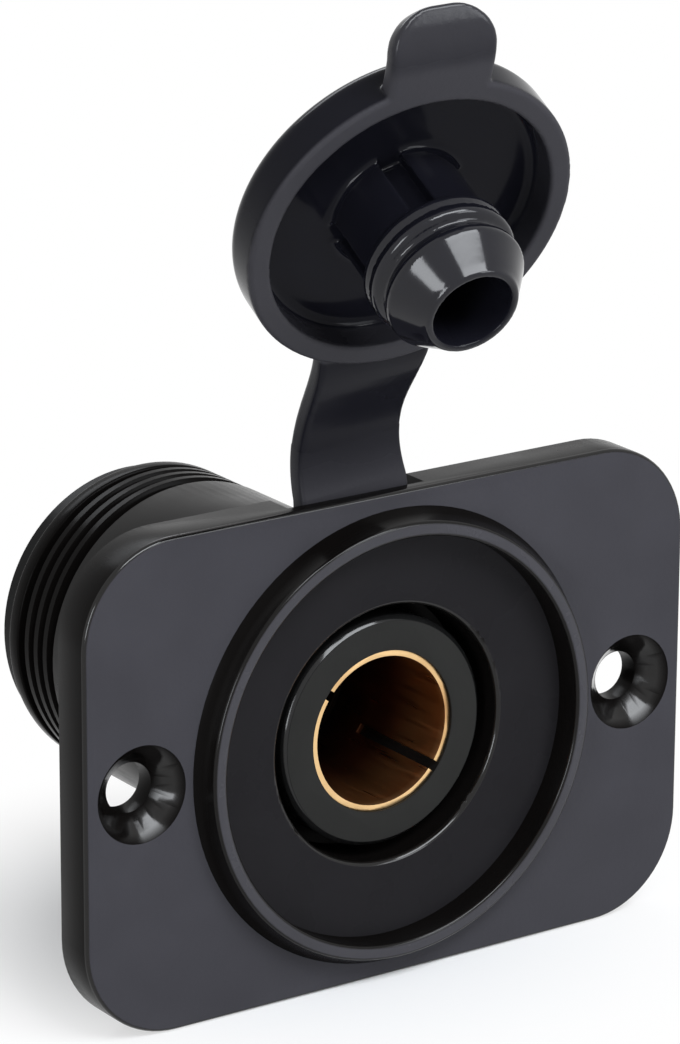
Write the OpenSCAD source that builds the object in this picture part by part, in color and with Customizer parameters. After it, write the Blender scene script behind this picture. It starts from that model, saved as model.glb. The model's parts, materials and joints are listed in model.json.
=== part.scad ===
// Flush panel socket for a 12 mm round power plug, with a captive rubber cap.
// The socket's axis runs along Y. The front faces -Y and the plate's rear face is the plane y = 0.
// The cap is drawn standing open on its bent strap.

/* [Plate] */
// Width of the mounting plate
plate_w = 56; // [52:0.5:70]
// Height of the mounting plate
plate_h = 39.5; // [38:0.5:52]
// Thickness of the mounting plate
plate_t = 3.6; // [3.2:0.1:5]
// Radius of the plate's corners
corner_r = 8; // [4:0.5:10]
// Rounding along the plate's front edge
edge_r = 0.35; // [0.2:0.05:1]
// Distance between the two screw holes
screw_pitch = 46; // [44.5:0.5:47]
// Diameter of a screw hole
screw_hole_d = 4; // [3:0.1:4.6]
// Diameter of a countersink at the front face
countersink_d = 7.8; // [6:0.1:8]

/* [Front ring] */
// Outer diameter of the raised ring at its top
ring_d = 35.4; // [34.6:0.1:36]
// Width of the ring's top
ring_w = 1.25; // [1:0.05:1.6]
// Spread of the ring's outer wall down to the plate
ring_foot = 0.75; // [0:0.05:1]
// Height of the ring above the plate
ring_h = 1.8; // [1:0.1:2.5]
// Depth of the dish inside the ring, from the ring's top
dish_depth = 2.4; // [1.8:0.1:2.6]

/* [Barrel] */
// Outer diameter of the barrel
barrel_d = 26.1; // [25.6:0.1:26.4]
// Length of the barrel behind the plate
barrel_len = 32.5; // [31:0.5:40]
// Length of the threaded end of the barrel
thread_len = 7; // [4:0.5:8]
// Depth of the thread
thread_depth = 0.75; // [0.4:0.05:0.9]
// Diameter of the barrel's front bore, round the insert
front_bore_d = 20.8; // [20.2:0.1:21.4]
// Depth of the open groove round the insert, behind the plate's rear face
groove_depth = 2; // [1:0.5:4]

/* [Insert] */
// Diameter of the insulating insert
insert_d = 18.7; // [18:0.1:19]
// How far the insert's face lies in front of the plate's rear face
insert_proud = 2.2; // [1.5:0.1:2.6]
// Diameter of the plug bore
plug_bore_d = 12.1; // [12:0.05:12.3]
// Wall of the brass sleeve
sleeve_wall = 0.45; // [0.35:0.05:0.7]
// Length of the brass sleeve
sleeve_len = 14; // [12:0.5:15]
// Depth of the chamber behind the sleeve
chamber_len = 7.5; // [7:0.5:9]
// Width of the sleeve's two slits
slit_w = 0.8; // [0.5:0.1:1.5]
// Length of the slits from the sleeve's front end
slit_len = 10; // [6:0.5:11]
// Direction of the slits, seen from the front, clockwise from the right
slit_angle = 38; // [20:1:60]

/* [Terminals] */
// Width of a blade terminal
blade_w = 6.3; // [4.8:0.1:6.3]
// Thickness of a blade terminal
blade_t = 0.8; // [0.5:0.1:1]
// How far the blades stand out behind the rear cover
blade_out = 8; // [6:0.5:10]
// Thickness of the rear cover's flange
cover_t = 2.5; // [2:0.5:5]
// Diameter of the rear cover's flange
cover_d = 24.4; // [22:0.1:25]

/* [Rubber cap] */
// Outer diameter of the cap
cap_d = 26; // [25:0.1:27]
// Width of the cap's flat rim
rim_w = 1.7; // [1.4:0.1:2.4]
// Height of the cap, from its rim to its back
cap_h = 4.2; // [3.6:0.1:5]
// Thickness of the cap's back
cap_back = 1.4; // [1:0.1:2]
// Gap between the plug's beads and the plug bore, all round
plug_gap = 0.3; // [0.1:0.05:0.5]
// Reach of the plug beyond the cap's rim
plug_reach = 10; // [9.5:0.1:12]
// Diameter of the hole in the plug
plug_hole_d = 6.2; // [5:0.1:7]
// Width of the pull tab
tab_w = 8.4; // [7:0.1:12]
// Reach of the pull tab beyond the rim
tab_reach = 6.2; // [5:0.1:8]

/* [Strap] */
// Width of the strap at the plate
strap_w = 9.8; // [8:0.1:11]
// Width of the strap at its waist
waist_w = 9; // [7:0.1:11]
// Thickness of the strap
strap_t = 1.6; // [1.2:0.1:1.8]
// Sideways place of the strap
strap_x = -2.8; // [-4:0.1:4]
// Thickness of the plate's strip in front of the strap
strip_t = 1.2; // [1:0.1:1.5]
// Height of the open strap above the plate
strap_rise = 12.45; // [9:0.05:14]
// Forward reach of the open strap
strap_forward = 4.55; // [3:0.05:8]
// Sideways drift of the open strap
strap_drift = -2.2; // [-3:0.05:3]
// Forward lean of the open cap
cap_lean = 25.5; // [0:0.5:40]
// Twist of the open cap
cap_twist = -6; // [-20:0.5:20]

/* [Hidden] */
$fn = 96;
small_fn = 48;

// Small overlap between shapes that are joined, and how far a cutting shape passes what it cuts
e = 0.01;
over = 1;

// Plate, ring and barrel. The ring and the barrel's neck sink a little into what they stand on
corner_x = plate_w / 2 - corner_r;
corner_z = plate_h / 2 - corner_r;
ring_r = ring_d / 2;
ring_in_r = ring_r - ring_w;
ring_top = -plate_t - ring_h;
dish_y = ring_top + dish_depth;
ring_round = 0.35;
ring_foot_r = ring_r + ring_foot;
mouth_r = 0.5;
barrel_r = barrel_d / 2;
thread_root_r = barrel_r - thread_depth;
lead_chamfer = 0.4;
front_bore_r = front_bore_d / 2;
fit = 0.05;
insert_r = insert_d / 2;
insert_bore_r = insert_r + fit;
seat_step = 0.6;
seat_r = insert_r + seat_step;
seat_len = 7;
seat_y = barrel_len - seat_len;
flange_len = 4;
insert_end = seat_y + flange_len;

// Rear pocket for the rubber collar, and the channel that lets the strap out
collar_t = 1.8;
collar_gap = 0.1;
neck_step = 0.25;
neck_sink = 0.2;
neck_r = barrel_r - neck_step;
collar_in_r = neck_r + collar_gap;
collar_w = 3.6;
collar_out_r = collar_in_r + collar_w;
neck_rise = 1;
neck_z = collar_out_r + neck_rise;
pocket_gap = 0.25;
pocket_r = collar_out_r + pocket_gap;
pocket_depth = collar_t + collar_gap;
channel_gap = 1.4;
channel_w = strap_w + 2 * channel_gap;
channel_depth = plate_t - strip_t;

// Contacts
sleeve_r = plug_bore_d / 2 + sleeve_wall;
sleeve_sink = 0.2;
sleeve_front = -insert_proud + sleeve_sink;
sleeve_back = sleeve_front + sleeve_len;
sleeve_fit = 0.03;
chamber_r = 5.6;
floor_front = sleeve_back + chamber_len;
floor_t = 2.6;
floor_back = floor_front + floor_t;
pin_bore_r = 2.5;
pin_wall = 0.6;
pin_r = pin_bore_r + pin_wall;
pin_len = 6.5;
pin_front = floor_front - pin_len;
pin_head_step = 1.2;
pin_head_r = pin_r + pin_head_step;
pin_head_t = 0.8;
hollow_step = 0.6;
pin_slot_w = 0.6;
pin_slot_turns = [45, 135];
cover_back = barrel_len + cover_t;
blade_end = cover_back + blade_out;
tail_w = 4;
tail_t = sleeve_wall;
tail_lap = 2;
tail_len = 6;
tail_back = sleeve_back + tail_len;
side_z = sleeve_r + blade_t / 2;
tag_lap = 4.4;
tag_front = tail_back - tag_lap;
rivet_r = 1;
rivet_head_r = 1.7;
rivet_head_t = 0.5;
slot_gap = 0.2;
slot_w = blade_w + 2 * slot_gap;
slot_t = blade_t + 2 * slot_gap;
channel_low = 5.2;
centre_z = -3.2;
rivet_y = (tag_front + tail_back) / 2;
blade_hole_r = 0.8;
blade_tip = 0.9;
blade_hole_y = 3;
rivet_low = sleeve_r - tail_t - rivet_head_t;
rivet_gap = 0.03;
centre_rivet_r = 0.9;
centre_head_r = 1.8;
pin_end_t = 0.9;
pin_slot_len = 4;
foot_h = 6.7;

// Cap, in its own frame: rim face in the plane y = 0, plug towards -Y, pull tab towards +Z
cap_r = cap_d / 2;
cup_r = cap_r - rim_w;
cup_depth = cap_h - cap_back;
cap_round = 1.5;
rim_round = 0.3;
cup_round = 0.8;
stem_fillet = 0.6;
bead_out_r = plug_bore_d / 2 - plug_gap;
nose_step = 0.3;
nose_r = bead_out_r - nose_step;
stem_step = 0.65;
stem_r = bead_out_r - stem_step;
plug_hole_r = plug_hole_d / 2;
tip_wall = 0.65;
tip_r = plug_hole_r + tip_wall;
tip_round = 0.35;
nose_start = -6.4;
nose_end = -7.2;
nose_round = 0.3;
bead_r = 0.6;
bead_y = [-3.9, -5];
waist_step = 0.75;
waist_r = bead_out_r - waist_step;
plug_hole_depth = 9;
plug_groove_w = 1.8;
plug_groove_depth = 1.2;
plug_groove_turn = 68;
plug_groove_end = -3.2;
plug_groove_margin = 0.1;
plug_groove_len = cup_depth - stem_fillet - plug_groove_margin - plug_groove_end;
tab_t = 1.5;
tab_flat_step = 1;
tab_flat = cap_r + tab_flat_step;
tab_curl_r = 6;
tab_curl = (tab_reach - tab_flat + cap_r) / tab_curl_r * 180 / PI;
tab_top = tab_flat + tab_curl_r * sin(tab_curl);
tab_corner_r = 3.4;
tab_bite = 0.5;
tab_root = cup_r + tab_bite;
curl_fn = 128;
lug_len = 0.4;

// Where the open strap starts and ends
strap_y = -channel_depth + strap_t / 2;
strap_lift = 0.25;
strap_z = plate_h / 2 + strap_lift;
lug_depth = 1.9;
lug_bite = 0.5;
cap_up = turned([0, 0, 1]);
cap_side = turned([1, 0, 0]);
cap_rear = turned([0, 1, 0]);
strap_top = [strap_x + strap_drift, strap_y - strap_forward, plate_h / 2 + strap_rise];
lug_place = cap_r + lug_len;
cap_centre = strap_top + lug_place * cap_up - lug_depth * cap_rear;
strap_bulge = 0.9;
neck_pull = 5.5;
lug_pull = 4;
strap_steps = 12;
strap_chamfer = 0.25;

// A direction in the cap's own frame, turned as the open cap is
function turned(p) =
    let (y = p[1] * cos(cap_lean) - p[2] * sin(cap_lean),
         z = p[1] * sin(cap_lean) + p[2] * cos(cap_lean))
    [p[0] * cos(cap_twist) - y * sin(cap_twist),
     p[0] * sin(cap_twist) + y * cos(cap_twist),
     z];

// Turns a shape drawn round Z so that it runs along +Y
module along_y() {
    rotate([-90, 0, 0]) children();
}

// A cylinder along Y from y0 to y1
module rod(r, y0, y1) {
    translate([0, y0, 0]) along_y() cylinder(r = r, h = y1 - y0);
}

// A cone along Y
module cone(r0, r1, y0, y1) {
    translate([0, y0, 0]) along_y() cylinder(r1 = r0, r2 = r1, h = y1 - y0);
}

// A ring along Y whose section is a child drawn as radius against y
module turned_ring() {
    along_y() rotate_extrude() children();
}

// Points on an arc round c, from one angle to another
function arc(c, r, from, to, steps) =
    [for (i = [0:steps]) let (a = from + (to - from) * i / steps) c + r * [cos(a), sin(a)]];

// Half section of a slab with its front edges rounded: x is the reach, y the depth
module edge_section(reach) {
    difference() {
        translate([0, -plate_t]) square([reach, plate_t]);
        translate([reach - edge_r, -plate_t - e]) square([edge_r + e, edge_r + e]);
    }
    intersection() {
        translate([reach - edge_r, -plate_t + edge_r]) circle(edge_r, $fn = small_fn);
        translate([0, -plate_t]) square([reach, edge_r + e]);
    }
}

// Both halves of that section
module slab_section(reach) {
    edge_section(reach);
    mirror([1, 0]) edge_section(reach);
}

// The bare plate with round corners and a rounded front edge
module plate_blank() {
    translate([0, 0, -corner_z]) linear_extrude(2 * corner_z) slab_section(plate_w / 2);
    rotate([0, 90, 0]) translate([0, 0, -corner_x]) linear_extrude(2 * corner_x)
        slab_section(plate_h / 2);
    for (sx = [-1, 1], sz = [-1, 1])
        translate([sx * corner_x, 0, sz * corner_z]) turned_ring() edge_section(corner_r);
}

// Section of the raised ring, with a rounded top and an outer wall that spreads to the plate
module ring_section() {
    root = -channel_depth - e;
    steps = 4;
    polygon(concat(
        [[ring_in_r, root]],
        arc([ring_in_r + ring_round, ring_top + ring_round], ring_round, 180, 270, steps),
        arc([ring_r - ring_round, ring_top + ring_round], ring_round, 270, 360, steps),
        [[ring_foot_r, -plate_t], [ring_foot_r, root]]
    ));
}

// Screw hole with its countersink
module screw_hole() {
    cone_depth = (countersink_d - screw_hole_d) / 2;
    rod(screw_hole_d / 2, -plate_t - over, over);
    cone(countersink_d / 2 + over, screw_hole_d / 2, -plate_t - over, -plate_t + cone_depth);
}

// Plate, ring and barrel in one moulding
module housing() {
    color("#1b1b1e") difference() {
        union() {
            difference() {
                plate_blank();
                rod(pocket_r, -pocket_depth, over);
                translate([strap_x - channel_w / 2, -pocket_depth, 0])
                    cube([channel_w, pocket_depth + over, plate_h]);
                translate([strap_x - channel_w / 2, -channel_depth, ring_in_r])
                    cube([channel_w, channel_depth + over, plate_h]);
            }
            turned_ring() ring_section();
            rod(neck_r, -channel_depth - neck_sink, 0);
            rod(barrel_r, 0, barrel_len - lead_chamfer);
            cone(barrel_r, barrel_r - lead_chamfer, barrel_len - lead_chamfer, barrel_len);
        }
        // dish inside the ring
        rod(ring_in_r, ring_top - over, dish_y);
        // mouth of the bore
        rod(front_bore_r, dish_y - over, groove_depth);
        difference() {
            rod(front_bore_r + mouth_r, dish_y - over, dish_y + mouth_r);
            turned_ring() translate([front_bore_r + mouth_r, dish_y + mouth_r])
                circle(mouth_r, $fn = small_fn);
        }
        rod(insert_bore_r, 0, barrel_len + over);
        rod(seat_r + fit, seat_y, barrel_len + over);
        // thread zone
        turned_ring() translate([thread_root_r, barrel_len - thread_len])
            square([thread_depth + over, thread_len + over]);
        for (side = [-1, 1]) translate([side * screw_pitch / 2, 0, 0]) screw_hole();
    }
}

// Insulating insert that holds the contacts
module insert() {
    face_round = 0.4;
    color("#232326") difference() {
        union() {
            rod(insert_r, -insert_proud + face_round, insert_end);
            cone(insert_r - face_round, insert_r, -insert_proud, -insert_proud + face_round);
            rod(seat_r, seat_y, insert_end);
        }
        rod(sleeve_r + sleeve_fit, -insert_proud - over, sleeve_back);
        rod(chamber_r, sleeve_back - over, floor_front);
        rod(pin_r + fit, floor_front - over, insert_end + over);
        // hollow behind the floor, which leaves the floor carrying the centre contact
        rod(pin_head_r + hollow_step, floor_back, insert_end + over);
        // channel for the sleeve's tail, its terminal and their rivet
        underside() translate([-slot_w / 2, sleeve_back - tail_lap - slot_gap, channel_low])
            cube([slot_w, insert_end, side_z + blade_t / 2 + rivet_head_t + slot_gap - channel_low]);
    }
}

// Turns what is drawn above the axis to below it
module underside() {
    rotate([0, 180, 0]) children();
}

// Split brass sleeve that lines the plug bore, with a tail for its terminal
module contact_sleeve() {
    color("#c8a04a") difference() {
        union() {
            rod(sleeve_r, sleeve_front, sleeve_back);
            underside() translate([-tail_w / 2, sleeve_back - tail_lap, sleeve_r - tail_t])
                cube([tail_w, tail_lap + tail_len, tail_t]);
        }
        rod(plug_bore_d / 2, sleeve_front - over, sleeve_back + over);
        // slits, one opposite the other
        rotate([0, slit_angle, 0]) translate([-sleeve_r - over, sleeve_front - over, -slit_w / 2])
            cube([2 * (sleeve_r + over), slit_len + over, slit_w]);
        underside() rivet_hole();
    }
}

// Hole through the sleeve's tail and its terminal for the rivet
module rivet_hole() {
    translate([0, rivet_y, sleeve_r - tail_t - over])
        cylinder(r = rivet_r, h = tail_t + blade_t + 2 * over, $fn = small_fn);
}

// Outline of a blade terminal, in plan, from y0 to its tip
module blade_outline(y0) {
    polygon([
        [-blade_w / 2, y0],
        [blade_w / 2, y0],
        [blade_w / 2, blade_end - blade_tip],
        [blade_w / 2 - blade_tip, blade_end],
        [-blade_w / 2 + blade_tip, blade_end],
        [-blade_w / 2, blade_end - blade_tip]
    ]);
}

// A flat blade at height z, with the hole near its tip
module blade(y0, z) {
    translate([0, 0, z - blade_t / 2]) linear_extrude(blade_t) difference() {
        blade_outline(y0);
        translate([0, blade_end - blade_hole_y]) circle(blade_hole_r, $fn = small_fn);
    }
}

// Blade terminal of the sleeve
module sleeve_terminal() {
    color("#d0b069") underside() difference() {
        blade(tag_front, side_z);
        rivet_hole();
    }
}

// Rivet that joins the sleeve to its terminal
module sleeve_rivet() {
    shank_top = side_z + blade_t / 2;
    color("#b9b9bb") underside() translate([0, rivet_y, 0]) {
        translate([0, 0, rivet_low])
            cylinder(r = rivet_r - rivet_gap, h = shank_top - rivet_low, $fn = small_fn);
        for (head_z = [rivet_low, shank_top])
            translate([0, 0, head_z]) cylinder(r = rivet_head_r, h = rivet_head_t, $fn = small_fn);
    }
}

// Slotted tube that receives the plug's centre pin
module centre_contact() {
    color("#c8a04a") difference() {
        union() {
            rod(pin_r, pin_front, floor_back);
            rod(pin_head_r, floor_front - pin_head_t, floor_front);
        }
        rod(pin_bore_r, pin_front - over, floor_back - pin_end_t);
        rod(centre_rivet_r, pin_front, floor_back + over);
        for (turn = pin_slot_turns) rotate([0, turn, 0])
            translate([-pin_r - over, pin_front - over, -pin_slot_w / 2])
                cube([2 * (pin_r + over), pin_slot_len + over, pin_slot_w]);
    }
}

// Blade terminal of the centre contact, with its foot
module centre_terminal() {
    color("#d0b069") underside() difference() {
        union() {
            blade(floor_back, centre_z);
            translate([-blade_w / 2, floor_back, centre_z - blade_t / 2])
                cube([blade_w, blade_t, foot_h]);
        }
        rod(centre_rivet_r, floor_back - over, floor_back + blade_t + over);
    }
}

// Rivet that joins the centre contact to its terminal
module centre_rivet() {
    front = floor_back - pin_end_t;
    back = floor_back + blade_t;
    color("#b9b9bb") {
        rod(centre_rivet_r - rivet_gap, front - rivet_head_t, back + rivet_head_t);
        rod(centre_head_r, front - rivet_head_t, front);
        rod(centre_head_r, back, back + rivet_head_t);
    }
}

// Cover that closes the barrel's rear end, with a slot for each blade
module rear_cover() {
    cover_chamfer = 0.5;
    color("#202023") difference() {
        union() {
            rod(seat_r - fit, insert_end + fit, barrel_len + e);
            rod(cover_d / 2, barrel_len, cover_back - cover_chamfer);
            cone(cover_d / 2, cover_d / 2 - cover_chamfer, cover_back - cover_chamfer, cover_back);
        }
        underside() for (z = [side_z, centre_z])
            translate([-slot_w / 2, insert_end - over, z - slot_t / 2])
                cube([slot_w, cover_back, slot_t]);
    }
}

// Rubber ring that is held in the plate's rear pocket, with the neck of the strap
module cap_collar() {
    color("#1a1a1c") difference() {
        union() {
            rod(collar_out_r, -pocket_depth, -collar_gap);
            translate([strap_x - strap_w / 2, -pocket_depth, collar_in_r])
                cube([strap_w, collar_t, neck_z - collar_in_r]);
            translate([strap_x - strap_w / 2, strap_y - strap_t / 2, collar_out_r])
                cube([strap_w, strap_t, strap_z - collar_out_r]);
        }
        rod(collar_in_r, -pocket_depth - over, over);
    }
}

// Unit vector along p
function unit(p) = p / norm(p);

// Centre line of the open strap at step t from 0 to 1
function strap_point(t) =
    let (a = [strap_x, strap_y, strap_z],
         b = a + [0, strap_bulge, neck_pull],
         c = strap_top - lug_pull * cap_up,
         u = 1 - t)
    u * u * u * a + 3 * u * u * t * b + 3 * u * t * t * c + t * t * t * strap_top;

// Direction of the centre line at step t
function strap_way(t) =
    t <= 0 ? [0, 0, 1] : t >= 1 ? cap_up : unit(strap_point(t + e) - strap_point(t - e));

// Direction across the strap at step t
function strap_side(t) =
    let (w = strap_way(t),
         s = (1 - t) * [1, 0, 0] + t * cap_side)
    unit(s - (s * w) * w);

// The eight points of the strap's section at step t
function strap_ring(t) =
    let (p = strap_point(t),
         s = strap_side(t),
         n = cross(strap_way(t), s),
         w = strap_w / 2 - (strap_w - waist_w) / 2 * sin(180 * t),
         h = strap_t / 2,
         c = strap_chamfer)
    [for (q = [[w, h - c], [w - c, h], [c - w, h], [-w, h - c],
               [-w, c - h], [c - w, -h], [w - c, -h], [w, c - h]]) p + q[0] * s + q[1] * n];

// Bending part of the strap, between the neck and the cap
module strap() {
    sides = len(strap_ring(0));
    last = sides - 1;
    color("#1c1c1f") polyhedron(
        points = [for (i = [0:strap_steps]) each strap_ring(i / strap_steps)],
        faces = concat(
            [[for (j = [0:last]) j]],
            [[for (j = [last:-1:0]) sides * strap_steps + j]],
            [for (i = [0:strap_steps - 1], j = [0:last])
                let (here = sides * i, next = here + sides, k = (j + 1) % sides)
                [here + j, next + j, next + k, here + k]]
        )
    );
}

// Half section of the cap with its plug: x is the radius, y the depth behind the rim
module cap_section() {
    tip = -plug_reach;
    bead_x = bead_out_r - bead_r;
    bead_top = acos((stem_r - bead_x) / bead_r);
    bead_meet = asin((bead_y[0] - bead_y[1]) / 2 / bead_r);
    bead_end = acos((waist_r - bead_x) / bead_r);
    polygon(concat(
        [[0, cap_h]],
        arc([cap_r - cap_round, cap_h - cap_round], cap_round, 90, 0, 5),
        arc([cap_r - rim_round, rim_round], rim_round, 0, -90, 2),
        [[cup_r, 0]],
        arc([cup_r - cup_round, cup_depth - cup_round], cup_round, 0, 90, 3),
        arc([stem_r + stem_fillet, cup_depth - stem_fillet], stem_fillet, 90, 180, 3),
        arc([bead_x, bead_y[0]], bead_r, bead_top, -bead_meet, 6),
        arc([bead_x, bead_y[1]], bead_r, bead_meet, -bead_end, 6),
        [[waist_r, nose_start]],
        arc([nose_r - nose_round, nose_start - nose_round], nose_round, 90, 0, 2),
        [[nose_r, nose_end]],
        arc([tip_r - tip_round, tip + tip_round], tip_round, 0, -90, 3),
        [[plug_hole_r, tip], [plug_hole_r, tip + plug_hole_depth], [0, tip + plug_hole_depth]]
    ));
}

// Pull tab: flush with the rim, then curling to the rear
module pull_tab() {
    intersection() {
        union() {
            translate([-tab_w / 2, 0, tab_root]) cube([tab_w, tab_t, tab_flat - tab_root + e]);
            translate([-tab_w / 2, tab_curl_r, tab_flat]) rotate([0, 90, 0])
                linear_extrude(tab_w) curl_section();
        }
        translate([0, tab_curl_r + over, 0]) rotate([90, 0, 0])
            linear_extrude(tab_curl_r + 2 * over) tab_outline();
    }
}

// Section of the curling part of the tab
module curl_section() {
    difference() {
        circle(tab_curl_r, $fn = curl_fn);
        circle(tab_curl_r - tab_t, $fn = curl_fn);
        translate([0, -tab_curl_r - over]) square(2 * (tab_curl_r + over));
        rotate(-tab_curl) translate([-2 * (tab_curl_r + over), -tab_curl_r - over])
            square(2 * (tab_curl_r + over));
    }
}

// Tab seen from the front, with round corners
module tab_outline() {
    reach = tab_w / 2 - tab_corner_r;
    translate([-tab_w / 2, tab_root]) square([tab_w, tab_top - tab_corner_r - tab_root]);
    translate([-reach, tab_root]) square([2 * reach, tab_top - tab_root]);
    for (side = [-1, 1]) translate([side * reach, tab_top - tab_corner_r])
        circle(tab_corner_r, $fn = small_fn);
}

// Rubber cap with its plug and pull tab, standing open
module cap() {
    color("#2a2a2e") translate(cap_centre) rotate([0, 0, cap_twist]) rotate([cap_lean, 0, 0]) {
        difference() {
            turned_ring() cap_section();
            for (k = [0:3]) rotate([0, plug_groove_turn + 90 * k, 0])
                translate([stem_r - plug_groove_depth, plug_groove_end, -plug_groove_w / 2])
                    cube([plug_groove_depth + over, plug_groove_len, plug_groove_w]);
        }
        pull_tab();
        // lug that carries the strap
        translate([-strap_w / 2, lug_depth - strap_t / 2, -lug_place])
            cube([strap_w, strap_t, lug_place - cup_r - lug_bite]);
    }
}

housing();
insert();
contact_sleeve();
sleeve_terminal();
sleeve_rivet();
centre_contact();
centre_terminal();
centre_rivet();
rear_cover();
cap_collar();
strap();
cap();
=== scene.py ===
# %% [markdown]
# # A flush panel power socket with a rubber cap
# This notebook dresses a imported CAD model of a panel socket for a 12 mm round plug.
# The CAD frame gives every hard part its exact place, so it is loaded first and never moved.
# The rubber parts are modelled here, because soft mouldings look wrong with CAD's sharp joins.
# Everything is in metres, the socket's axis runs along Y and its front faces -Y.

# %% Load the fixed frame
import json
import math

import bpy
from mathutils import Matrix, Vector

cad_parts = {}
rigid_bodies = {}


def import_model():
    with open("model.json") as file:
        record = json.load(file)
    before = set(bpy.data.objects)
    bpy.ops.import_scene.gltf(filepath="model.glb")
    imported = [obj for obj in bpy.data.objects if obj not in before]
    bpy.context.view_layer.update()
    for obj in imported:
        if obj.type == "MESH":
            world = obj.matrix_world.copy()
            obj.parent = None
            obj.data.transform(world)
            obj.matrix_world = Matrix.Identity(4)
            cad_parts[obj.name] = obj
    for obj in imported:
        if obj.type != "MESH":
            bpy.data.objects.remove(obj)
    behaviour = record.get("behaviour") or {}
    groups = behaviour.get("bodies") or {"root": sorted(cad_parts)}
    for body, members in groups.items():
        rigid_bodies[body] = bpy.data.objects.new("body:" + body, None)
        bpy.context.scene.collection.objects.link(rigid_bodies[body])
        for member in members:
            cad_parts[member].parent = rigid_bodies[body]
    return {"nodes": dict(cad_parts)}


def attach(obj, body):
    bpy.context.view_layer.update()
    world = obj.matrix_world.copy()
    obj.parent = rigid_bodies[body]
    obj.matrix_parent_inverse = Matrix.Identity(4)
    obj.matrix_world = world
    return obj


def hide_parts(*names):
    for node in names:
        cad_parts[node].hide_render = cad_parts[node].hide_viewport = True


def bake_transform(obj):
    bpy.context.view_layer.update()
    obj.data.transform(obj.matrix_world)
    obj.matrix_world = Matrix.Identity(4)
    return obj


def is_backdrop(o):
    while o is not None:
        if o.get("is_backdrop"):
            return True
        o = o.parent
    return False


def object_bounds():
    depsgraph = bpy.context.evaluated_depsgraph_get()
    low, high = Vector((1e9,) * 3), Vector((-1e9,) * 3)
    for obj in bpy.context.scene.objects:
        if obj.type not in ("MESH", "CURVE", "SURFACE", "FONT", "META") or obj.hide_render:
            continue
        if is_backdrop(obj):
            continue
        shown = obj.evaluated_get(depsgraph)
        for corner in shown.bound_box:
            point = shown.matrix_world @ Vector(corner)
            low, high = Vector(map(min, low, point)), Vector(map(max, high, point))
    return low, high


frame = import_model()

cad_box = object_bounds()
print("CAD box", cad_box)

# %% [markdown]
# ## Camera
# The photograph was taken from the left, a little above the socket, with a long lens.
# A long lens keeps the plate's edges nearly parallel, so the camera stands about 38 cm away.
# It could be turned by hand until the picture fits.
# Here its direction is written as azimuth and elevation, which can be repeated exactly.

# %% Place the camera
MM = 0.001


def mm(x, y, z):
    return Vector((x, y, z)) * MM


def camera_axes(azimuth, elevation, roll):
    """Right, up and back of a camera that looks at the object from a direction."""
    a, e, r = (math.radians(v) for v in (azimuth, elevation, roll))
    back = Vector((math.sin(a) * math.cos(e), -math.cos(a) * math.cos(e), math.sin(e)))
    right = Vector((0, 0, 1)).cross(back).normalized()
    up = back.cross(right)
    return (right * math.cos(r) + up * math.sin(r), up * math.cos(r) - right * math.sin(r), back)


AZIMUTH, ELEVATION, ROLL = -34.613, 17.526, 0.281
DISTANCE, LENS, SENSOR = 383.33, 115.12, 24
right, up, back = camera_axes(AZIMUTH, ELEVATION, ROLL)
aim = mm(-2.643, 0, 16.908)
bpy.ops.object.camera_add(location=aim + back * DISTANCE * MM)
camera = bpy.context.object
camera.rotation_euler = Matrix((right, up, back)).transposed().to_euler()
camera.data.sensor_fit = "VERTICAL"
camera.data.sensor_height = SENSOR
camera.data.lens = LENS
camera.data.clip_start = 0.01
bpy.context.scene.camera = camera
print("camera at", [round(v, 4) for v in camera.location])

# %% [markdown]
# ## What sees the white ground
# The photograph has a plain white ground, so the floor and the world are white to the camera.
# More light would also make the ground white, but it would wash out the black parts.
# So the white is shown only to the rays that see: the camera's, and reflected and transmitted
# ones. The rays that carry light between the surfaces get a dim, even sky instead.

# %% White for the eye, matte for the light


def node_tree(name):
    """A new material with its nodes cleared."""
    material = bpy.data.materials.new(name)
    material.use_nodes = True
    material.node_tree.nodes.clear()
    return material, material.node_tree.nodes, material.node_tree.links


def seen_rays(nodes, links):
    """1 for rays that see the scene: camera, mirror-like and transmitted rays."""
    path = nodes.new("ShaderNodeLightPath")
    first, both = nodes.new("ShaderNodeMath"), nodes.new("ShaderNodeMath")
    first.operation = both.operation = "MAXIMUM"
    links.new(path.outputs["Is Camera Ray"], first.inputs[0])
    links.new(path.outputs["Is Glossy Ray"], first.inputs[1])
    links.new(first.outputs[0], both.inputs[0])
    links.new(path.outputs["Is Transmission Ray"], both.inputs[1])
    return both.outputs[0]


# %% [markdown]
# ## Floor
# The socket stands on its plate's lower edge, and a soft shadow ties it to the ground.
# A plain white floor would lose that shadow, and a plain matte one would look grey.
# So the floor is matte under the object, and fades into plain white further out.

# %% Floor that keeps the shadow
FLOOR_Z = -19.8
FADE_START, FADE_END = 0.006, 0.040
floor_material, nodes, links = node_tree("studio_floor")
output = nodes.new("ShaderNodeOutputMaterial")
matte = nodes.new("ShaderNodeBsdfDiffuse")
matte.inputs["Color"].default_value = (0.9, 0.9, 0.9, 1)
white = nodes.new("ShaderNodeEmission")
place = nodes.new("ShaderNodeTexCoord")
spread = nodes.new("ShaderNodeVectorMath")
spread.operation = "LENGTH"
links.new(place.outputs["Object"], spread.inputs[0])
fade = nodes.new("ShaderNodeMapRange")
fade.interpolation_type = "SMOOTHSTEP"
fade.inputs["From Min"].default_value = FADE_START
fade.inputs["From Max"].default_value = FADE_END
links.new(spread.outputs["Value"], fade.inputs["Value"])
far_seen = nodes.new("ShaderNodeMath")
far_seen.operation = "MULTIPLY"
links.new(fade.outputs[0], far_seen.inputs[0])
links.new(seen_rays(nodes, links), far_seen.inputs[1])
mixed = nodes.new("ShaderNodeMixShader")
links.new(far_seen.outputs[0], mixed.inputs[0])
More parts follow.
